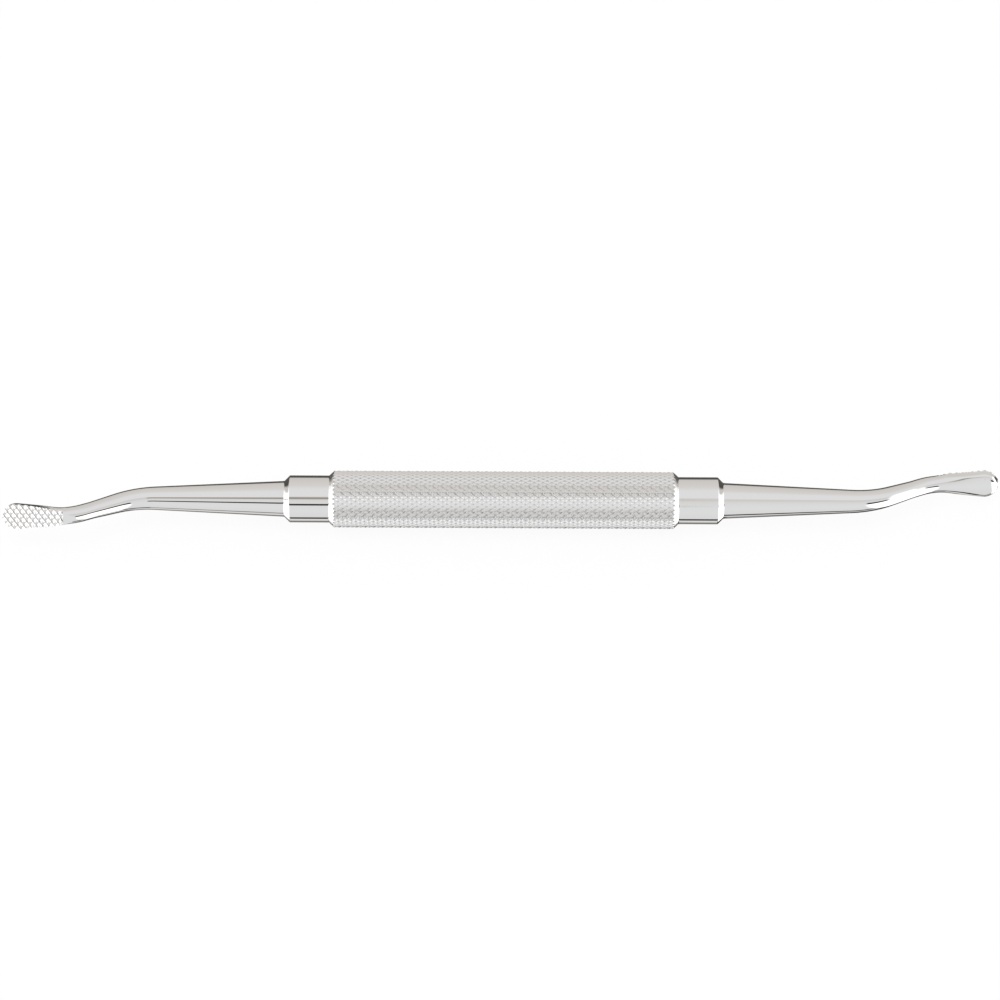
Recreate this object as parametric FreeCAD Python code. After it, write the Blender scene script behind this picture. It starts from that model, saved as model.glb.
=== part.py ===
import FreeCAD, Part

import math
import os

Vector = FreeCAD.Vector
ORIGIN = Vector(0, 0, 0)
X_AXIS = Vector(1, 0, 0)
Y_AXIS = Vector(0, 1, 0)
Z_AXIS = Vector(0, 0, 1)

# A double-ended bone file in solid stainless steel: a knurled grip, a turned collar and a tapered shank
# at each side of it, and an offset, toothed head at each end. Millimetres and degrees throughout.
# The grip's axis lies along X. The origin is on the table, under the middle of the grip.

# Knurled grip
GRIP_LENGTH = 62.1
CREST_DIAMETER = 10.2
KNURL_DEPTH = 0.3
KNURL_ROUND = 22
KNURL_ANGLE = 30.0
GRIP_CHAMFER = 0.85
GRIP_END_STEP = 0.15

# Turned collars
COLLAR_LENGTH = 8.05
COLLAR_DIAMETER = 8.4
CORNER_RADIUS = 0.35

# Tapered shanks, straight and then bent twice in one plane
ROOT_DIAMETER = 6.4
NECK_DIAMETER = 3.05
TAPER_RUN = 35.0
STRAIGHT_RUN = 23.0
FIRST_BEND_RADIUS = 14.3
SLOPE_ANGLE = 28.8
SLOPE_RUN = 6.6
SECOND_BEND_RADIUS = 9.4
SET_BACK_ANGLE = 3.0
STATION_PITCH = 2.2

# Heads: a flat toothed face over a crowned back
HEAD_RUN = 9.2
TIP_RADIUS = 2.65
FLARE_ANGLE = 7.7
FACE_HEIGHT = 0.9
HEAD_THICKNESS = 1.8
CROWN_RADIUS = 3.2
EDGE_RADIUS = 0.25
PADDLE_LENGTH = 10.4
NECK_RUN_IN = 1.3
NECK_END_WIDTH = 2.0
SHANK_FADE_RUN = 5.0
SHANK_FADE_RISE = 0.6
SHANK_FADE_THINNING = 0.2

# Cross-cut teeth
FIELD_LENGTH = 10.9
TOOTH_PITCH = 1.117
TOOTH_ANGLE = 58.0
GROOVE_DEPTH = 0.38
GROOVE_OPENING = 90.0

# The file lies on its grip with its bends leaning this far from upright. Between about 66 and 114
# degrees both heads are clear of the table, and the weight is centred on the grip's axis.
LEAN_ANGLE = 77.0

# How far one solid reaches into the next before they are fused, and how far a cutter stands proud
OVERLAP = 1.0

# Distance within which the corners of the knurl's facets are joined
SEWING_GAP = 0.001


def polar(radius, degrees):
    """Y and Z of a point at this radius and angle round the grip's axis."""
    angle = math.radians(degrees)
    return radius * math.cos(angle), radius * math.sin(angle)


def knurled_grip():
    """Diamond knurl as a closed shell of flat facets.

    Rings of points alternate between crest and groove crossing, and each ring is turned by one point
    from the last, so that four facets rise from the groove bottoms to every crest. The outermost
    rings are plain polygons, where the knurl runs out down the chamfers. When the file lies down, two
    rows of crests touch the table, one each side of the lowest line.
    """
    crest = CREST_DIAMETER / 2
    knurled_length = GRIP_LENGTH - 2 * GRIP_CHAMFER
    round_pitch = math.pi * CREST_DIAMETER / KNURL_ROUND
    axial_pitch = round_pitch / math.tan(math.radians(KNURL_ANGLE))
    half_cells = 2 * round(knurled_length / axial_pitch)
    count = 2 * KNURL_ROUND
    end_radius = COLLAR_DIAMETER / 2 + GRIP_END_STEP
    lowest = 270 - LEAN_ANGLE

    def ring(x, radii):
        places = [polar(radius, lowest + (step + 0.5) * 360 / count) for step, radius in enumerate(radii)]
        return [Vector(x, y, z) for y, z in places]

    rings = [ring(-GRIP_LENGTH / 2, [end_radius] * count)]
    for row in range(half_cells + 1):
        x = knurled_length * (row / half_cells - 0.5)
        rings.append(ring(x, [crest - KNURL_DEPTH * ((row + step) % 2) for step in range(count)]))
    rings.append(ring(GRIP_LENGTH / 2, [end_radius] * count))

    points = [point for one_ring in rings for point in one_ring]
    facets = []
    for row in range(len(rings) - 1):
        for step in range(count):
            near = row * count
            far = near + count
            after = (step + 1) % count
            if (row + step) % 2:
                facets.append((near + step, near + after, far + step))
                facets.append((near + after, far + after, far + step))
            else:
                facets.append((near + step, near + after, far + after))
                facets.append((near + step, far + after, far + step))
    skin = Part.Shape()
    skin.makeShapeFromMesh((points, facets), SEWING_GAP, False)
    ends = [Part.Face(Part.makePolygon(edge + edge[:1])) for edge in (rings[0], rings[-1])]
    shell = Part.Compound(skin.Faces + ends)
    shell.sewShape(SEWING_GAP)
    return Part.Solid(shell.Shells[0])


def corner_arc(x, radius):
    """Concave corner arc from a 45 degree slope down to a level line at this radius, and its start."""
    whole = math.radians(45)
    middle = whole / 2
    reach = CORNER_RADIUS * math.sin(whole)
    rise = CORNER_RADIUS * (1 - math.cos(whole))
    start = Vector(x, 0, radius + rise)
    through = Vector(x + reach - CORNER_RADIUS * math.sin(middle), 0,
                     radius + CORNER_RADIUS * (1 - math.cos(middle)))
    end = Vector(x + reach, 0, radius)
    return Part.Arc(start, through, end).toShape(), start, end


def turned_arm():
    """Collar and straight shank on the +X side of the grip, turned about the grip's axis."""
    collar = COLLAR_DIAMETER / 2
    grip_end = GRIP_LENGTH / 2
    root_x = grip_end + COLLAR_LENGTH
    first_arc, first, level = corner_arc(grip_end, collar)
    second_arc, second, root = corner_arc(root_x, ROOT_DIAMETER / 2)
    inner = [Vector(grip_end - OVERLAP, 0, 0), Vector(grip_end - OVERLAP, 0, first.z), first]
    chamfer_start = Vector(root_x - (collar - second.z), 0, collar)
    outer_end = Vector(root_x + STRAIGHT_RUN, 0, bar_radius(STRAIGHT_RUN))
    closing = [outer_end, Vector(outer_end.x, 0, 0), inner[0]]
    edges = Part.makePolygon(inner).Edges
    edges.append(first_arc)
    edges += Part.makePolygon([level, chamfer_start, second]).Edges
    edges.append(second_arc)
    edges += Part.makePolygon([root] + closing).Edges
    profile = Part.Face(Part.Wire(edges))
    return profile.revolve(ORIGIN, X_AXIS, 360)


def axis_runs():
    """The bent axis from the shank's root to the tip, as pairs of length and turn towards the face."""
    first = math.radians(SLOPE_ANGLE)
    second = math.radians(SLOPE_ANGLE + SET_BACK_ANGLE)
    return [(STRAIGHT_RUN, 0.0), (FIRST_BEND_RADIUS * first, first), (SLOPE_RUN, 0.0),
            (SECOND_BEND_RADIUS * second, -second), (HEAD_RUN, 0.0)]


def axis_at(distance):
    """Point on the bent axis at a distance along it from the shank's root, and its slope."""
    place = Vector(GRIP_LENGTH / 2 + COLLAR_LENGTH, 0, 0)
    slope = 0.0
    for length, turn in axis_runs():
        part = min(distance, length)
        if part <= 0:
            break
        angle = turn * part / length
        chord = part if turn == 0 else part * math.sin(angle / 2) / (angle / 2)
        heading = slope + angle / 2
        place = place + Vector(chord * math.cos(heading), 0, chord * math.sin(heading))
        slope += angle
        distance -= part
    return place, slope


def head_start():
    """Distance along the axis at which the second bend ends and the head runs straight."""
    return sum(length for length, turn in axis_runs()) - HEAD_RUN


def bar_radius(distance):
    """Radius of the bar at a distance along its axis from the root: an even taper, then an even neck."""
    share = min(distance / TAPER_RUN, 1.0)
    return ROOT_DIAMETER / 2 + (NECK_DIAMETER - ROOT_DIAMETER) / 2 * share


def bent_bar():
    """Bent part of the shank, lofted through circles along its axis, with its end faded into the head."""
    first = STRAIGHT_RUN
    last = head_start() + SHANK_FADE_RUN
    count = math.ceil((last - first) / STATION_PITCH)
    circles = []
    for step in range(count + 1):
        distance = first + (last - first) * step / count
        place, slope = axis_at(distance)
        fade = max(0.0, (distance - head_start()) / SHANK_FADE_RUN)
        rise = SHANK_FADE_RISE * fade * fade
        centre = place + Vector(-math.sin(slope), 0, math.cos(slope)) * rise
        heading = Vector(math.cos(slope), 0, math.sin(slope))
        radius = bar_radius(distance) - SHANK_FADE_THINNING * fade
        circle = Part.Circle(centre, heading, radius)
        circles.append(Part.Wire(circle.toShape()))
    return Part.makeLoft(circles, True)


def paddle():
    """Head blank about the centre of its round tip: its plan outline, backed by an even crown."""
    flare = math.radians(FLARE_ANGLE)
    touch_x = -TIP_RADIUS * math.sin(flare)
    touch_y = TIP_RADIUS * math.cos(flare)
    neck_x = TIP_RADIUS - PADDLE_LENGTH
    neck_y = touch_y - (touch_x - neck_x) * math.tan(flare)
    end_x = neck_x - NECK_RUN_IN
    end_y = NECK_END_WIDTH / 2
    bottom = FACE_HEIGHT - HEAD_THICKNESS
    low = bottom - OVERLAP
    tip = Part.Arc(Vector(touch_x, -touch_y, low), Vector(TIP_RADIUS, 0, low), Vector(touch_x, touch_y, low))
    sides = [Vector(touch_x, touch_y, low), Vector(neck_x, neck_y, low), Vector(end_x, end_y, low),
             Vector(end_x, -end_y, low), Vector(neck_x, -neck_y, low), Vector(touch_x, -touch_y, low)]
    plan = Part.Wire([tip.toShape()] + Part.makePolygon(sides).Edges)
    block = Part.Face(plan).extrude(Z_AXIS * (HEAD_THICKNESS + OVERLAP))
    crown_centre = Vector(0, 0, bottom + CROWN_RADIUS)
    barrel = Part.makeCylinder(CROWN_RADIUS, OVERLAP - end_x, crown_centre, -X_AXIS)
    crown = barrel.fuse(Part.makeSphere(CROWN_RADIUS, crown_centre))
    blank = block.common(crown).removeSplitter()
    back_rim = [edge for edge in blank.Edges if is_back_rim(edge, end_x, bottom)]
    return blank.makeFillet(EDGE_RADIUS, back_rim)


def is_back_rim(edge, end_x, bottom):
    """True for an edge where the crowned back meets the side of the head."""
    if edge.Degenerated:
        return False
    along = (edge.FirstParameter + edge.LastParameter) / 2
    middle = edge.valueAt(along)
    level = abs(edge.tangentAt(along).z) < math.sin(math.radians(45))
    below_face = bottom < middle.z < FACE_HEIGHT - EDGE_RADIUS
    off_ridge = math.hypot(max(middle.x, 0), middle.y) > NECK_END_WIDTH / 2
    return level and below_face and off_ridge and middle.x > end_x + EDGE_RADIUS


def tooth_grooves():
    """Two crossing rows of V grooves that cut the field of teeth in the face, up to its straight heel."""
    turn = math.radians(TOOTH_ANGLE)
    half = TIP_RADIUS + OVERLAP
    half_opening = math.tan(math.radians(GROOVE_OPENING / 2))
    above = FACE_HEIGHT + OVERLAP
    apex = FACE_HEIGHT - GROOVE_DEPTH
    half_width = (above - apex) * half_opening
    heel_x = TIP_RADIUS - FIELD_LENGTH
    spread = half / math.tan(turn)
    first = math.floor((heel_x - spread) / TOOTH_PITCH)
    last = math.ceil((TIP_RADIUS + spread) / TOOTH_PITCH)
    field = Part.makeBox(FIELD_LENGTH + OVERLAP, 2 * half, above + HEAD_THICKNESS,
                         Vector(heel_x, -half, apex - OVERLAP))
    grooves = []
    for side in (-1, 1):
        along = Vector(math.cos(turn), side * math.sin(turn), 0)
        across = Vector(-along.y, along.x, 0)
        for number in range(first, last + 1):
            start = Vector(number * TOOTH_PITCH, 0, 0) - along * (half / math.sin(turn))
            section = [start + Z_AXIS * apex, start + Z_AXIS * above + across * half_width,
                       start + Z_AXIS * above - across * half_width]
            blade = Part.Face(Part.makePolygon(section + section[:1]))
            groove = blade.extrude(along * (2 * half / math.sin(turn))).common(field)
            if groove.Volume > 0:
                grooves.append(groove)
    return grooves


def working_end():
    """Collar, shank and toothed head on the +X side, with the toothed face towards +Z."""
    tip, slope = axis_at(head_start() + HEAD_RUN)
    heading = Vector(math.cos(slope), 0, math.sin(slope))
    place = FreeCAD.Placement(tip - heading * TIP_RADIUS, FreeCAD.Rotation(Y_AXIS, -math.degrees(slope)))
    blank = turned_arm().fuse([bent_bar(), placed(paddle(), place)])
    reach = PADDLE_LENGTH + SECOND_BEND_RADIUS
    face_cutter = Part.makeBox(reach, 4 * TIP_RADIUS, CROWN_RADIUS,
                               Vector(TIP_RADIUS + OVERLAP - reach, -2 * TIP_RADIUS, FACE_HEIGHT))
    faced = blank.cut(placed(face_cutter, place))
    return faced.cut([placed(groove, place) for groove in tooth_grooves()])


def placed(shape, placement):
    """Copy of a shape, moved to its place on the file."""
    return shape.transformed(placement.toMatrix())


def bone_file():
    """The whole file, lying on its grip."""
    right_end = working_end()
    right_end.rotate(ORIGIN, X_AXIS, 180)
    left_end = right_end.copy()
    left_end.rotate(ORIGIN, Y_AXIS, 180)
    body = knurled_grip().fuse([left_end, right_end])
    solid = body.Solids[0]
    solid.rotate(ORIGIN, X_AXIS, LEAN_ANGLE)
    half_step = math.radians(90 / KNURL_ROUND)
    solid.translate(Z_AXIS * (CREST_DIAMETER / 2 * math.cos(half_step)))
    return solid


os.makedirs("parts", exist_ok=True)
bone_file().exportStep("parts/bone_file.step")
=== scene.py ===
import math

import bpy
import numpy as np
from mathutils import Matrix, Vector


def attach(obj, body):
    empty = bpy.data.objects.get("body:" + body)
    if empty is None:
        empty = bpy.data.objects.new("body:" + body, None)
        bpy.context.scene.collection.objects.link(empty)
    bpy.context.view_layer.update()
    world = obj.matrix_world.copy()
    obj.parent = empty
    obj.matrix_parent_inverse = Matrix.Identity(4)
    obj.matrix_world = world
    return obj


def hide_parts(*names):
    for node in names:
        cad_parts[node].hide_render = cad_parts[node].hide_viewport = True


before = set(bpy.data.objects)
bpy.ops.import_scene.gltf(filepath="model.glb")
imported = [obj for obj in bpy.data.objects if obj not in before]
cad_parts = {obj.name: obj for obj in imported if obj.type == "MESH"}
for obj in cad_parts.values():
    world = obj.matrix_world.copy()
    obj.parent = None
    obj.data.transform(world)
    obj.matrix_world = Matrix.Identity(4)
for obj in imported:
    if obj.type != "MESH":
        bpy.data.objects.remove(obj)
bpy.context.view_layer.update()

# Sizes shared with the part's source, in millimetres and degrees
GRIP_LENGTH = 62.1
CREST_RADIUS = 5.1
GRIP_CHAMFER = 0.85
GRIP_END_RADIUS = 4.35
COLLAR_LENGTH = 8.05
COLLAR_RADIUS = 4.2
CORNER_RADIUS = 0.35
ROOT_RADIUS = 3.2
NECK_RADIUS = 1.525
TAPER_RUN = 35.0
STRAIGHT_RUN = 23.0
FIRST_BEND_RADIUS = 14.3
SLOPE_ANGLE = 28.8
SLOPE_RUN = 6.6
SECOND_BEND_RADIUS = 9.4
SET_BACK_ANGLE = 3.0
HEAD_RUN = 9.2
TIP_RADIUS = 2.65
FLARE_ANGLE = 7.7
FACE_HEIGHT = 0.9
HEAD_THICKNESS = 1.8
PADDLE_LENGTH = 10.4
NECK_RUN_IN = 1.3
NECK_END_WIDTH = 2.0
FIELD_LENGTH = 10.9
TOOTH_PITCH = 1.117
TOOTH_ANGLE = 58.0
GROOVE_DEPTH = 0.38
LEAN_ANGLE = 77.0
SOURCE_CRESTS_ROUND = 22

# The source's grip lies on a facet between two rows of crests
AXIS_HEIGHT = CREST_RADIUS * math.cos(math.radians(90 / SOURCE_CRESTS_ROUND))

# The real knurl, finer than the source's, with a small flat on each crest and in each groove
KNURL_ROUND = 36
KNURL_CELLS = 39
KNURL_DEPTH = 0.2
CREST_FLAT = 0.08
FLANK_SHARE = 0.86
FACETS_PER_HALF_CELL = 4

# Finer form of the paddle: its sides draw in and round over to a back that grows flatter towards the tip
PADDLE_LEAD = 2.5
NECK_BLEND = 0.3
WALL_SLANT = math.tan(math.radians(16))
SIDE_SOFTNESS = 0.5
BACK_RADIUS = 5.4
FIRST_CUT_ROUNDING = 0.03
SECOND_CUT_ROUNDING = 0.05

# Steps between the stations along a working end, and the samples of a half section
SHANK_STEP = 0.6
BEND_STEP = 0.3
HEAD_STEP = 0.045
LEAST_STEP = 0.02
FAN_STATIONS = 180
TOP_SAMPLES = 56
WALL_SAMPLES = 8
RIM_SAMPLES = 21
BACK_SAMPLES = 16

# The steel's brightness, and the colour of the painted shade in the bottoms of its cuts
STEEL_BRIGHTNESS = 0.88
PIT_SHADE_COLOUR = (0.3, 0.28, 0.27, 1)

# Share of its own light in the table as the camera sees it, and the rest takes the shadow
FLOOR_GLOW = 0.9

# The photograph's view: its angle from the heads' flat faces, its roll, its distance and its width in metres
VIEW_ANGLE = 32.0
VIEW_ROLL = 0.27
VIEW_DISTANCE = 0.8
VIEW_WIDTH = 0.1787
VIEW_CENTRE_X = -0.00067
VIEW_CENTRE_DROP = 0.00003
SENSOR_WIDTH = 36

MM = 0.001


def to_part_frame(points, turned_round):
    """Places points of the local end frame on the file, in metres.

    The right end is turned half a turn about X, the left end is that turned half a turn about Y, and
    both are then leaned about X and lifted onto the table.
    """
    x, y, z = points[..., 0], -points[..., 1], -points[..., 2]
    if turned_round:
        x, z = -x, -z
    lean = math.radians(LEAN_ANGLE)
    out = np.stack([x, y * math.cos(lean) - z * math.sin(lean),
                    y * math.sin(lean) + z * math.cos(lean) + AXIS_HEIGHT], axis=-1)
    return out * MM


def add_piece(name, points, triangles, sharp_degrees, material, painted_shade):
    """Puts a closed triangle surface in the scene, faces outward, smooth but for its sharp edges.

    Each point also keeps a share of painted shade, from 0 to 1, which darkens the steel's colour in the
    bottoms of its cuts.
    """
    used, triangles = np.unique(triangles, return_inverse=True)
    points = points[used]
    painted_shade = painted_shade[used]
    triangles = triangles.reshape(-1, 3)
    a, b, c = (points[triangles[:, k]] for k in range(3))
    if np.einsum("ij,ij->i", a, np.cross(b, c)).sum() < 0:
        triangles = triangles[:, ::-1]
    mesh = bpy.data.meshes.new(name)
    mesh.vertices.add(len(points))
    mesh.vertices.foreach_set("co", points.astype(np.float32).ravel())
    mesh.loops.add(triangles.size)
    mesh.loops.foreach_set("vertex_index", triangles.astype(np.int32).ravel())
    mesh.polygons.add(len(triangles))
    mesh.polygons.foreach_set("loop_start", np.arange(0, triangles.size, 3, dtype=np.int32))
    mesh.update(calc_edges=True)
    mesh.validate()
    mesh.polygons.foreach_set("use_smooth", np.ones(len(triangles), dtype=bool))
    mesh.set_sharp_from_angle(angle=math.radians(sharp_degrees))
    # Painted shade for the steel's colour, darkest at the bottoms of the cuts
    mesh.attributes.new("painted_shade", "FLOAT", "POINT").data.foreach_set("value", painted_shade.astype(np.float32))
    mesh.materials.append(material)
    piece = bpy.data.objects.new(name, mesh)
    bpy.context.scene.collection.objects.link(piece)
    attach(piece, "root")
    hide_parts("bone_file")
    return piece


def knurled_grip(material):
    """Diamond knurl on a round bar, as one surface of position along the axis and angle round it.

    The radius is the crest radius less the groove depth times a rounded ramp of t, where t is the sum
    of the distances along and round to the nearest crest, in half cells. So t is 0 at a crest and 1
    along every groove. Near its ends the radius is held within a chamfer cone. Painted shade darkens
    the steel's colour where two grooves cross.
    """
    knurled = GRIP_LENGTH - 2 * GRIP_CHAMFER
    half_cell = knurled / (2 * KNURL_CELLS)
    count = 2 * KNURL_ROUND * FACETS_PER_HALF_CELL
    beyond = np.array([0.3, 0.6, 0.9, 1.0]) * GRIP_CHAMFER
    middle = np.linspace(-knurled / 2, knurled / 2, 2 * KNURL_CELLS * FACETS_PER_HALF_CELL + 1)
    x = np.concatenate([-knurled / 2 - beyond[::-1], middle, knurled / 2 + beyond])
    u = np.arange(count) / FACETS_PER_HALF_CELL
    v = (x + knurled / 2) / half_cell
    du = np.abs(u[None, :] - 2 * np.round(u[None, :] / 2))
    dv = np.abs(v[:, None] - 2 * np.round(v[:, None] / 2))
    t = np.minimum(du + dv, 2 - du - dv)
    ramp = np.clip((t - CREST_FLAT) / FLANK_SHARE, 0, 1)
    from_end = (GRIP_LENGTH / 2 - np.abs(x)) / GRIP_CHAMFER
    cone = GRIP_END_RADIUS + (CREST_RADIUS - GRIP_END_RADIUS) * from_end
    radius = np.minimum(CREST_RADIUS - KNURL_DEPTH * ramp, cone[:, None])
    # Painted shade where two grooves cross: a mask for the steel's darker colour
    groove = np.clip((t - 0.7) / 0.3, 0, 1)
    crossing = np.clip((np.abs(du - dv) - 0.4) / 0.6, 0, 1)
    painted_shade = 0.7 * groove * crossing
    angle = np.radians(u * 360 / (2 * KNURL_ROUND) + 270 - LEAN_ANGLE)
    points = np.stack([np.broadcast_to(x[:, None], radius.shape), radius * np.cos(angle),
                       radius * np.sin(angle)], axis=-1).reshape(-1, 3)
    points = np.vstack([points, [[x[0], 0, 0], [x[-1], 0, 0]]])
    painted_shade = np.append(painted_shade.ravel(), [0, 0])

    index = np.arange(len(x) * count).reshape(len(x), count)
    near, far = index[:-1], index[1:]
    near_next, far_next = np.roll(near, -1, axis=1), np.roll(far, -1, axis=1)
    row = np.clip(np.floor((v[:-1] + v[1:]) / 2), -1, 2 * KNURL_CELLS)[:, None]
    rising = (row + np.floor(u)[None, :]) % 2 == 0
    one = np.where(rising[..., None], np.stack([near, near_next, far], -1),
                   np.stack([near, near_next, far_next], -1))
    two = np.where(rising[..., None], np.stack([near_next, far_next, far], -1),
                   np.stack([near, far_next, far], -1))
    first, last = index[0], index[-1]
    caps = [np.stack([np.full(count, len(points) - 2), np.roll(first, -1), first], -1),
            np.stack([np.full(count, len(points) - 1), last, np.roll(last, -1)], -1)]
    triangles = np.concatenate([one.reshape(-1, 3), two.reshape(-1, 3)] + caps)
    return add_piece("knurled_grip", to_part_frame(points, False), triangles, 30, material, painted_shade)


def axis_at(distance):
    """Bent axis of the shank: X, Z and slope at distances along it from the shank's root.

    Straight runs and arcs follow one another, and each arc's chord is its length times the sine of
    half its turn, divided by that half turn.
    """
    first = math.radians(SLOPE_ANGLE)
    second = math.radians(SLOPE_ANGLE + SET_BACK_ANGLE)
    runs = [(STRAIGHT_RUN, 0.0), (FIRST_BEND_RADIUS * first, first), (SLOPE_RUN, 0.0),
            (SECOND_BEND_RADIUS * second, -second), (HEAD_RUN, 0.0)]
    rest = np.asarray(distance, dtype=float)
    x = GRIP_LENGTH / 2 + COLLAR_LENGTH + np.minimum(rest, 0)
    z = np.zeros_like(x)
    slope = np.zeros_like(x)
    for length, turn in runs:
        part = np.clip(rest, 0, length)
        angle = turn * part / length
        chord = part * np.sinc(angle / (2 * math.pi))
        x = x + chord * np.cos(slope + angle / 2)
        z = z + chord * np.sin(slope + angle / 2)
        slope = slope + angle
        rest = rest - length
    return x, z, slope


HEAD_START = (STRAIGHT_RUN + FIRST_BEND_RADIUS * math.radians(SLOPE_ANGLE) + SLOPE_RUN
              + SECOND_BEND_RADIUS * math.radians(SLOPE_ANGLE + SET_BACK_ANGLE))


def corner_arc(x, radius):
    """Concave corner from a 45 degree slope down to a level line: arc points about its centre."""
    angle = np.radians(np.linspace(45, 0, 7))
    reach = CORNER_RADIUS * math.sin(math.radians(45))
    return np.stack([x + reach - CORNER_RADIUS * np.sin(angle),
                     radius + CORNER_RADIUS * (1 - np.cos(angle))], axis=-1)


def turned_stations():
    """Distance from the root and radius down the collar and shank, up to the fine stations of the head."""
    grip_end = GRIP_LENGTH / 2
    root = grip_end + COLLAR_LENGTH
    first = corner_arc(grip_end, COLLAR_RADIUS)
    second = corner_arc(root, ROOT_RADIUS)
    shoulder = root - (COLLAR_RADIUS - second[0, 1])
    soft = 0.05
    collar = np.array([[first[-1, 0] + share * (shoulder - soft - first[-1, 0]), COLLAR_RADIUS]
                       for share in (0.02, 0.1, 0.3, 0.5, 0.7, 0.9, 0.98)])
    slope = np.array([[shoulder - soft, COLLAR_RADIUS],
                      [shoulder, COLLAR_RADIUS - 0.3 * soft],
                      [shoulder + soft, COLLAR_RADIUS - soft],
                      [shoulder + 2.5 * soft, COLLAR_RADIUS - 2.5 * soft],
                      [(shoulder + root) / 2, (COLLAR_RADIUS + second[0, 1]) / 2]])
    start = np.array([[grip_end - 1.0, first[0, 1]]])
    lathe = np.concatenate([start, first, collar, slope, second])
    bend = STRAIGHT_RUN - 1.4
    distance = np.concatenate([lathe[:, 0] - root, np.arange(0.4, bend - 0.1, SHANK_STEP),
                               np.arange(bend, HEAD_START - PADDLE_LEAD - 0.1, BEND_STEP)])
    radius = np.concatenate([lathe[:, 1], bar_radius(distance[len(lathe):])])
    return distance, radius


def bar_radius(distance):
    """Radius of the bar, which tapers evenly and then keeps the neck's size."""
    return ROOT_RADIUS + (NECK_RADIUS - ROOT_RADIUS) * np.clip(distance / TAPER_RUN, 0, 1)


def smooth_min(a, b, width):
    """Lesser of two values, rounded where they are within the width of each other."""
    blend = np.clip(0.5 + 0.5 * (b - a) / width, 0, 1)
    return b + (a - b) * blend - width * blend * (1 - blend)


def smooth_max(a, b, width):
    """Greater of two values, rounded where they are within the width of each other."""
    return -smooth_min(-a, -b, width)


def tooth_cut(x, y):
    """Crossed V grooves below the face, x along the head from the centre of the tip: depth and painted shade.

    Each groove's depth falls evenly from its line to either side, with a rounded bottom. Painted shade
    darkens the steel where both directions are deep together, and in a faint line along the later cut's
    bottom.
    """
    turn = math.radians(TOOTH_ANGLE)
    cuts = []
    for side, soft in ((-1, FIRST_CUT_ROUNDING), (1, SECOND_CUT_ROUNDING)):
        line = x - side * y / math.tan(turn)
        away = np.abs(line - TOOTH_PITCH * np.round(line / TOOTH_PITCH)) * math.sin(turn)
        rise = GROOVE_DEPTH - np.sqrt(away ** 2 + soft ** 2)
        depth = 0.5 * (rise + np.sqrt(rise ** 2 + soft ** 2))
        cuts.append(depth * (rise > -0.2) * (x > TIP_RADIUS - FIELD_LENGTH))
    both = (cuts[0] + cuts[1]) / (2 * GROOVE_DEPTH)
    # Painted shade: full where both grooves are deep, and a faint painted line of shade along the later
    # groove's bottom
    pit_shade = np.clip((both - 0.65) / 0.25, 0, 1)
    line = 0.1 * np.clip((cuts[1] / GROOVE_DEPTH - 0.75) / 0.15, 0, 1)
    return np.maximum(cuts[0], cuts[1]), np.maximum(pit_shade, line)


def head_place():
    """Centre of the tip's arc, the head's forward and upward directions, and its slope."""
    tip_x, tip_z, slope = (float(value) for value in axis_at(HEAD_START + HEAD_RUN))
    forward = np.array([math.cos(slope), 0, math.sin(slope)])
    upward = np.array([-math.sin(slope), 0, math.cos(slope)])
    centre = np.array([tip_x, 0, tip_z]) - forward * TIP_RADIUS
    return centre, forward, upward, slope


def half_width(along, radius):
    """Half width of the head in plan, at places along it from the centre of the tip's arc.

    Straight flanks flare from the neck to where they touch the arc. Near the neck the width is the
    smooth greater of the flank's and the bar's own radius.
    """
    flare = math.radians(FLARE_ANGLE)
    touch_x, touch_y = -TIP_RADIUS * math.sin(flare), TIP_RADIUS * math.cos(flare)
    neck_x = TIP_RADIUS - PADDLE_LENGTH
    neck_y = touch_y - (touch_x - neck_x) * math.tan(flare)
    flank = np.interp(along, [neck_x - NECK_RUN_IN, neck_x, touch_x], [NECK_END_WIDTH / 2, neck_y, touch_y])
    plan = np.where(along > touch_x, np.sqrt(np.maximum(TIP_RADIUS ** 2 - along ** 2, 0)), flank)
    return np.where(along > neck_x / 2, plan, smooth_max(radius, plan, NECK_BLEND))


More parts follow.
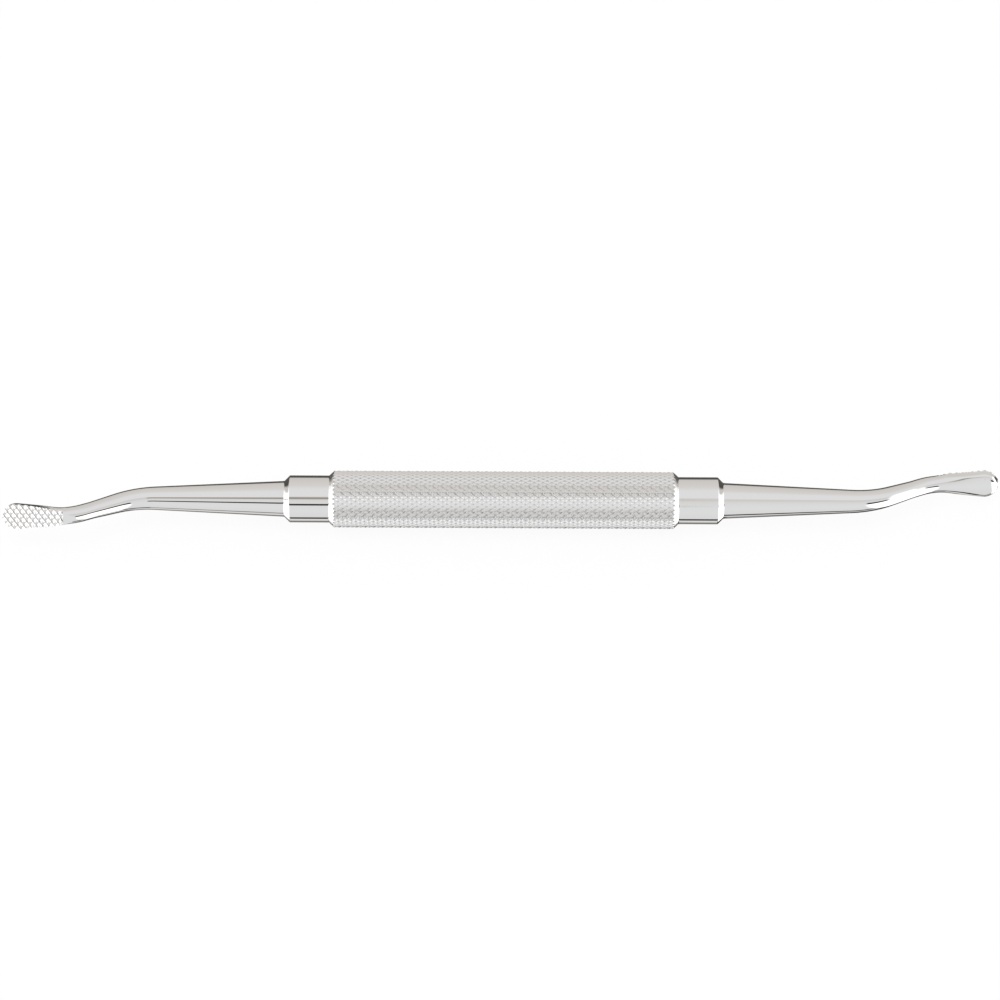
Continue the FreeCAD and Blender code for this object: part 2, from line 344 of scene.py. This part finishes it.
def half_sections(width, face, radius, share):
    """Half section of each station about the axis: sideways and upward reach of its samples.

    A half section starts at the top centre line, runs level to the rim, then down the side, round the
    lower rim and along the back to the centre line. In polar form it is the smooth lesser of a side
    wall, which draws in downwards, and a back circle, and the plane of the face cuts it. The share
    rises from 0 where the head grows out of the bar to 1 at the tip. With it the back circle goes over
    from the bar's own to a flatter one nearer to the face, and the corner above it grows softer.
    """
    back_radius = radius + (BACK_RADIUS - radius) * share ** 2
    back_depth = radius + (HEAD_THICKNESS - FACE_HEIGHT - radius) * share ** 1.3
    crown = back_radius - back_depth
    slant = WALL_SLANT * share
    soft = 0.02 + SIDE_SOFTNESS * share ** 2

    def polar(phi):
        """Distance from the axis to the section's outline, before the face is cut, at angles from +Y."""
        sine, cosine = np.sin(phi), np.maximum(np.cos(phi), 1e-6)
        back = crown * sine + np.sqrt(np.maximum(back_radius ** 2 - (crown * cosine) ** 2, 0))
        wall = (width - slant * FACE_HEIGHT) / np.maximum(cosine - slant * sine, 1e-6)
        return np.where(share > 0, smooth_min(wall, back, soft), back)

    scan = np.radians(np.linspace(8, 42, 600))[None, :]
    inside = face / np.sin(scan) > polar(scan)
    rim_angle = scan[0, np.minimum(inside.sum(axis=1), scan.shape[1] - 1)][:, None]
    rim = np.minimum(polar(rim_angle), face / np.sin(rim_angle))
    top_y = rim * np.cos(rim_angle) * np.linspace(0, 1, TOP_SAMPLES)[None, :]
    top_n = np.minimum(face, crown + np.sqrt(np.maximum(back_radius ** 2 - top_y ** 2, 0)))

    low_rim = np.arctan2(crown - np.sqrt(np.maximum(back_radius ** 2 - width ** 2, 0)), width)
    spread = 0.06 + 0.22 * share
    down = np.linspace(0, 1, WALL_SAMPLES + 2)[None, 1:-1]
    inward = np.linspace(0, 1, BACK_SAMPLES + 1)[None, 1:] ** 1.15
    phi = np.concatenate([rim_angle + (low_rim + spread - rim_angle) * down,
                          low_rim + spread * np.linspace(1, -1, RIM_SAMPLES)[None, :],
                          low_rim - spread + (-math.pi / 2 - low_rim + spread) * inward], axis=1)
    rho = polar(phi)
    y = np.concatenate([top_y, rho * np.cos(phi)], axis=1)
    n = np.concatenate([top_n, rho * np.sin(phi)], axis=1)
    y[:, -1] = 0
    return y, n


def end_points():
    """Points of a working end in its local frame by station and sample, their painted shade, and a count.

    The path runs out along the +Y side, round the centre of the tip and back along the -Y side, and
    the count is of the stations on the way out. The grooves are set below the face, and they fade
    out down the side.
    """
    centre, forward, upward, head_slope = head_place()
    centre_distance = HEAD_START + HEAD_RUN - TIP_RADIUS
    neck_distance = HEAD_START - PADDLE_LEAD
    distance, radius = turned_stations()
    fine = np.append(np.arange(neck_distance, centre_distance - LEAST_STEP, HEAD_STEP), centre_distance)
    distance = np.concatenate([distance, fine])
    radius = np.concatenate([radius, bar_radius(fine)])
    straight = len(distance)

    axis_x, axis_z, slope = axis_at(distance)
    base = np.stack([axis_x, np.zeros_like(axis_x), axis_z], -1)
    width = half_width((base - centre) @ forward, radius)
    face = (FACE_HEIGHT - (base - centre) @ upward) / np.cos(slope - head_slope)
    share = np.clip((distance - neck_distance) / (centre_distance - neck_distance), 0, 1)
    y, n = half_sections(*(np.append(values, np.full(FAN_STATIONS, values[-1]))[:, None]
                           for values in (width, face, radius, share)))

    sideways = np.array([0, 1.0, 0])
    normal = np.stack([-np.sin(slope), np.zeros_like(slope), np.cos(slope)], -1)[:, None, :]
    runs = base[:, None, :] + y[:straight, :, None] * sideways + n[:straight, :, None] * normal
    fan_angle = np.radians(np.linspace(0, 180, FAN_STATIONS + 2))[1:-1, None, None]
    turning = np.cos(fan_angle) * sideways + np.sin(fan_angle) * forward
    fan = centre + y[straight:, :, None] * turning + n[straight:, :, None] * upward
    points = np.concatenate([runs, fan, runs[::-1] * np.array([1, -1, 1])])

    relative = points - centre
    flat = relative @ upward > FACE_HEIGHT - 0.01
    cut, pit_shade = tooth_cut(relative @ forward, relative[..., 1])
    cut, pit_shade = cut * flat, pit_shade * flat
    down = np.linspace(0, 1, WALL_SAMPLES + 2)[1:-1]
    fade = np.append((1 - down) ** 1.5, np.zeros(RIM_SAMPLES + BACK_SAMPLES))
    cut[:, TOP_SAMPLES:] = cut[:, TOP_SAMPLES - 1:TOP_SAMPLES] * fade[None, :]
    return points - cut[..., None] * upward, pit_shade, straight


def end_triangles(stations, samples, straight):
    """Triangles between neighbouring stations and samples, and a cap on the end inside the grip.

    The fan shares its first and last samples with the last station of the way out, and the way back
    shares those of the way out. The cap's hub is the point after all the others.
    """
    index = np.arange(stations * samples).reshape(stations, samples)
    for edge in (0, samples - 1):
        index[straight:-straight, edge] = index[straight - 1, edge]
        index[-straight:, edge] = index[:straight, edge][::-1]
    a, b, c, d = index[:-1, :-1], index[1:, :-1], index[1:, 1:], index[:-1, 1:]
    rim_loop = np.concatenate([index[0], index[-1, ::-1][1:]])
    hub = np.full(len(rim_loop) - 1, stations * samples)
    triangles = np.concatenate([np.stack([a, b, c], -1).reshape(-1, 3),
                                np.stack([a, c, d], -1).reshape(-1, 3),
                                np.stack([hub, rim_loop[:-1], rim_loop[1:]], -1)])
    return triangles[(triangles != np.roll(triangles, -1, axis=1)).all(axis=1)]


def working_end(name, turned_round, material):
    """Collar, tapered shank and toothed head as one closed surface."""
    points, pit_shade, straight = end_points()
    triangles = end_triangles(*points.shape[:2], straight)
    points = np.vstack([points.reshape(-1, 3), [[points[0, 0, 0], 0, 0]]])
    painted_shade = np.append(pit_shade.ravel(), 0)
    return add_piece(name, to_part_frame(points, turned_round), triangles, 32, material, painted_shade)


def steel(name, bright, roughness, spread, grain, bump):
    """Stainless steel: fine marks across the file vary its roughness and surface, and painted shade darkens
    its colour in the cuts.
    """
    material = bpy.data.materials.new(name)
    material.use_nodes = True
    nodes, links = material.node_tree.nodes, material.node_tree.links
    shader = nodes["Principled BSDF"]
    shader.inputs["Metallic"].default_value = 1.0
    # Painted shade: the base colour goes towards the shade colour as far as the attribute says
    pit_shade = nodes.new("ShaderNodeAttribute")
    pit_shade.attribute_name = "painted_shade"
    shade = nodes.new("ShaderNodeMix")
    shade.data_type = "RGBA"
    shade.inputs["A"].default_value = (bright, bright * 0.99, bright * 0.98, 1)
    shade.inputs["B"].default_value = PIT_SHADE_COLOUR
    links.new(pit_shade.outputs["Fac"], shade.inputs["Factor"])
    links.new(shade.outputs["Result"], shader.inputs["Base Color"])
    place = nodes.new("ShaderNodeTexCoord")
    stretch = nodes.new("ShaderNodeMapping")
    stretch.inputs["Scale"].default_value = grain
    noise = nodes.new("ShaderNodeTexNoise")
    noise.inputs["Scale"].default_value = 1.0
    noise.inputs["Detail"].default_value = 3.0
    levels = nodes.new("ShaderNodeMapRange")
    levels.inputs["To Min"].default_value = roughness - spread
    levels.inputs["To Max"].default_value = roughness + spread
    dents = nodes.new("ShaderNodeBump")
    dents.inputs["Strength"].default_value = bump
    dents.inputs["Distance"].default_value = 0.00002
    links.new(place.outputs["Object"], stretch.inputs["Vector"])
    links.new(stretch.outputs["Vector"], noise.inputs["Vector"])
    links.new(noise.outputs["Fac"], levels.inputs["Value"])
    links.new(levels.outputs["Result"], shader.inputs["Roughness"])
    links.new(noise.outputs["Fac"], dents.inputs["Height"])
    links.new(dents.outputs["Normal"], shader.inputs["Normal"])
    return material


def linear(value):
    """Light level of a grey that shows as this value out of 255."""
    share = value / 255
    return share / 12.92 if share <= 0.04045 else ((share + 0.055) / 1.055) ** 2.4


# The studio's walls, going round the file's axis and seen only in its reflections: an angle above the
# camera's own direction, a grey out of 255 and a warmth
WALLS = [(-180, 140, 0.1), (-150, 120, 0.12), (-138, 130, 0.1), (-133, 212, 0),
         (-60, 219, -0.03), (-30, 217, -0.02), (-8, 213, 0.02), (0, 205, 0.04),
         (8, 205, 0.02), (14, 220, -0.02), (50, 219, -0.02), (70, 210, 0.05),
         (126, 198, 0.08), (133, 75, 0.1), (160, 85, 0.1), (180, 110, 0.1)]

# Dark slots in the walls: angle and half width in degrees, a grey, and the stretch of the X direction that
# each fills, with the blur of its sides in degrees and of its ends in X
SLOTS = [(-28.5, 3.0, 40, -1.0, 0.02), (-32, 7.5, 30, 0.45, 0.83), (3.5, 3.5, 150, -1.0, 0.02),
         (-109, 4.8, 25, -0.075, 0.4), (-109, 3.0, 120, -1.0, -0.075), (-152, 24.0, 55, 0.1, 0.42)]
SLOT_BLUR = 2.5
SLOT_END_BLUR = 0.05

# Bright surfaces round the file. Each lies out along X and below an angle above the camera's direction, and
# the two values of a limit are where it starts to show and where it is full
END_WALLS_FROM = (0.78, 0.88)
END_WALLS_BELOW = (118, 104)
TABLE_FROM = (0.40, 0.48)
TABLE_BELOW = (-38, -43)
FAR_ENDS_FROM = (0.94, 0.98)
BRIGHT_LEVEL = 1.5


def turn_share(above):
    """Share of a turn at which the studio's ramp holds an angle above the camera's direction."""
    return 0.5 - above / 360


def world_maths(nodes, links, operation, one, two=None):
    """A maths node of one or two inputs, each a socket or a number, and its output."""
    node = nodes.new("ShaderNodeMath")
    node.operation = operation
    for socket, value in zip(node.inputs, (one, two)):
        if isinstance(value, (int, float)):
            socket.default_value = value
        elif value is not None:
            links.new(value, socket)
    return node.outputs[0]


def world_step(nodes, links, value, start, end):
    """Even rise from 0 at the start to 1 at the end, held there, or a fall where the end is the lower."""
    node = nodes.new("ShaderNodeMapRange")
    low, high = min(start, end), max(start, end)
    node.inputs["From Min"].default_value = low
    node.inputs["From Max"].default_value = high
    node.inputs["To Min"].default_value = 0.0 if start < end else 1.0
    node.inputs["To Max"].default_value = 1.0 if start < end else 0.0
    links.new(value, node.inputs["Value"])
    return node.outputs["Result"]


def world_blend(nodes, links, factor, below, colour):
    """The colour below, covered by another one as far as the factor says."""
    node = nodes.new("ShaderNodeMix")
    node.data_type = "RGBA"
    node.inputs["B"].default_value = colour
    links.new(factor, node.inputs["Factor"])
    links.new(below, node.inputs["A"])
    return node.outputs["Result"]


def tinted(level, warmth):
    """Colour that the steel shows as a grey out of 255, a little warm or cool."""
    grey = linear(level) / STEEL_BRIGHTNESS
    return (grey, grey * (1 - warmth / 2), grey * (1 - warmth), 1)


def studio_world():
    """Plain white light, with the studio's walls, slots and bright ends in it for reflections only."""
    world = bpy.data.worlds.new("studio")
    bpy.context.scene.world = world
    world.use_nodes = True
    nodes, links = world.node_tree.nodes, world.node_tree.links
    nodes.clear()
    place = nodes.new("ShaderNodeTexCoord")
    split = nodes.new("ShaderNodeSeparateXYZ")
    links.new(place.outputs["Generated"], split.inputs["Vector"])
    along = split.outputs["X"]
    round_axis = world_maths(nodes, links, "ARCTAN2", split.outputs["Z"], split.outputs["Y"])
    # The ramp holds one turn round the file's axis, with the camera's own direction in its middle
    turns = world_maths(nodes, links, "MULTIPLY", round_axis, 1 / (2 * math.pi))
    shifted = world_maths(nodes, links, "ADD", turns, 1.5 - (90 + LEAN_ANGLE - VIEW_ANGLE) / 360)
    turned = world_maths(nodes, links, "FRACT", shifted)
    walls = nodes.new("ShaderNodeValToRGB")
    links.new(turned, walls.inputs["Fac"])
    stops = sorted((turn_share(above), level, warmth) for above, level, warmth in WALLS)
    while len(walls.color_ramp.elements) < len(stops):
        walls.color_ramp.elements.new(0.5)
    for element, (position, level, warmth) in zip(walls.color_ramp.elements, stops):
        element.position = position
        element.color = tinted(level, warmth)
    colour = walls.outputs["Color"]
    for angle, half_width, level, start, end in SLOTS:
        offset = world_maths(nodes, links, "SUBTRACT", turned, turn_share(angle))
        away = world_maths(nodes, links, "ABSOLUTE", offset)
        across = world_step(nodes, links, away, (half_width + SLOT_BLUR) / 360, half_width / 360)
        begun = world_step(nodes, links, along, start - SLOT_END_BLUR / 2, start + SLOT_END_BLUR / 2)
        ended = world_step(nodes, links, along, end + SLOT_END_BLUR / 2, end - SLOT_END_BLUR / 2)
        stretch = world_maths(nodes, links, "MULTIPLY", begun, ended)
        factor = world_maths(nodes, links, "MULTIPLY", across, stretch)
        colour = world_blend(nodes, links, factor, colour, tinted(level, 0.15))
    sideways = world_maths(nodes, links, "ABSOLUTE", along)
    bright = world_step(nodes, links, sideways, *FAR_ENDS_FROM)
    for beginning, below in ((END_WALLS_FROM, END_WALLS_BELOW), (TABLE_FROM, TABLE_BELOW)):
        surface = world_maths(nodes, links, "MULTIPLY", world_step(nodes, links, sideways, *beginning),
                              world_step(nodes, links, turned, turn_share(below[0]), turn_share(below[1])))
        bright = world_maths(nodes, links, "MAXIMUM", bright, surface)
    colour = world_blend(nodes, links, bright, colour, (BRIGHT_LEVEL, BRIGHT_LEVEL, BRIGHT_LEVEL, 1))
    seen = nodes.new("ShaderNodeBackground")
    links.new(colour, seen.inputs["Color"])
    plain = nodes.new("ShaderNodeBackground")
    plain.inputs["Color"].default_value = (1, 1, 1, 1)
    path = nodes.new("ShaderNodeLightPath")
    choose = nodes.new("ShaderNodeMixShader")
    output = nodes.new("ShaderNodeOutputWorld")
    links.new(path.outputs["Is Glossy Ray"], choose.inputs["Fac"])
    links.new(plain.outputs["Background"], choose.inputs[1])
    links.new(seen.outputs["Background"], choose.inputs[2])
    links.new(choose.outputs["Shader"], output.inputs["Surface"])


def pale_floor():
    """White table: mostly bright of itself to the camera, and a faint shadow of the file is kept."""
    mesh = bpy.data.meshes.new("table_top")
    reach = 3.0
    corners = [(-reach, -reach, 0), (reach, -reach, 0), (reach, reach, 0), (-reach, reach, 0)]
    mesh.from_pydata(corners, [], [(0, 1, 2, 3)])
    floor = bpy.data.objects.new("table_top", mesh)
    bpy.context.scene.collection.objects.link(floor)
    floor.visible_glossy = False
    material = bpy.data.materials.new("white_table")
    material.use_nodes = True
    nodes, links = material.node_tree.nodes, material.node_tree.links
    nodes.clear()
    matt = nodes.new("ShaderNodeBsdfDiffuse")
    matt.inputs["Color"].default_value = (0.9, 0.9, 0.9, 1)
    glow = nodes.new("ShaderNodeEmission")
    glow.inputs["Color"].default_value = (1, 1, 1, 1)
    path = nodes.new("ShaderNodeLightPath")
    part = nodes.new("ShaderNodeMath")
    part.operation = "MULTIPLY"
    part.inputs[1].default_value = FLOOR_GLOW
    mix = nodes.new("ShaderNodeMixShader")
    output = nodes.new("ShaderNodeOutputMaterial")
    links.new(path.outputs["Is Camera Ray"], part.inputs[0])
    links.new(part.outputs[0], mix.inputs["Fac"])
    links.new(matt.outputs["BSDF"], mix.inputs[1])
    links.new(glow.outputs["Emission"], mix.inputs[2])
    links.new(mix.outputs["Shader"], output.inputs["Surface"])
    mesh.materials.append(material)


def soft_lamp():
    """One large soft lamp above and behind the camera, which gives the table its shadow."""
    light = bpy.data.lights.new("softbox", "AREA")
    light.shape = "DISK"
    light.size = 1.0
    light.energy = 3.0
    lamp = bpy.data.objects.new("softbox", light)
    lamp.location = (-0.3, -0.2, 1.3)
    lamp.rotation_euler = (Vector((0, 0, 0)) - Vector(lamp.location)).to_track_quat("-Z", "Y").to_euler()
    lamp.visible_glossy = False
    bpy.context.scene.collection.objects.link(lamp)


def camera():
    """The photograph's view: square to the file, from half way up, with its right end a little lower."""
    tilt = math.radians(LEAN_ANGLE - VIEW_ANGLE)
    back = Vector((0, -math.sin(tilt), math.cos(tilt)))
    up = Vector((0, math.cos(tilt), math.sin(tilt)))
    roll = math.radians(VIEW_ROLL)
    right = Vector((1, 0, 0)) * math.cos(roll) + up * math.sin(roll)
    rolled_up = back.cross(right)
    data = bpy.data.cameras.new("camera")
    data.sensor_width = SENSOR_WIDTH
    data.lens = SENSOR_WIDTH * VIEW_DISTANCE / VIEW_WIDTH
    data.clip_start = 0.01
    data.clip_end = 20
    eye = bpy.data.objects.new("camera", data)
    target = Vector((VIEW_CENTRE_X, 0, AXIS_HEIGHT * MM)) - up * VIEW_CENTRE_DROP
    turn = Matrix((right, rolled_up, back)).transposed().to_4x4()
    eye.matrix_world = Matrix.Translation(target + back * VIEW_DISTANCE) @ turn
    bpy.context.scene.collection.objects.link(eye)
    bpy.context.scene.camera = eye


polished = steel("polished_steel", STEEL_BRIGHTNESS, 0.03, 0.01, (9000, 900, 900), 0.06)
knurl_steel = steel("knurled_steel", STEEL_BRIGHTNESS, 0.24, 0.04, (3000, 3000, 3000), 0.12)
knurled_grip(knurl_steel)
working_end("right_end", False, polished)
working_end("left_end", True, polished)
studio_world()
pale_floor()
soft_lamp()
camera()
bpy.context.scene.view_settings.view_transform = "Standard"
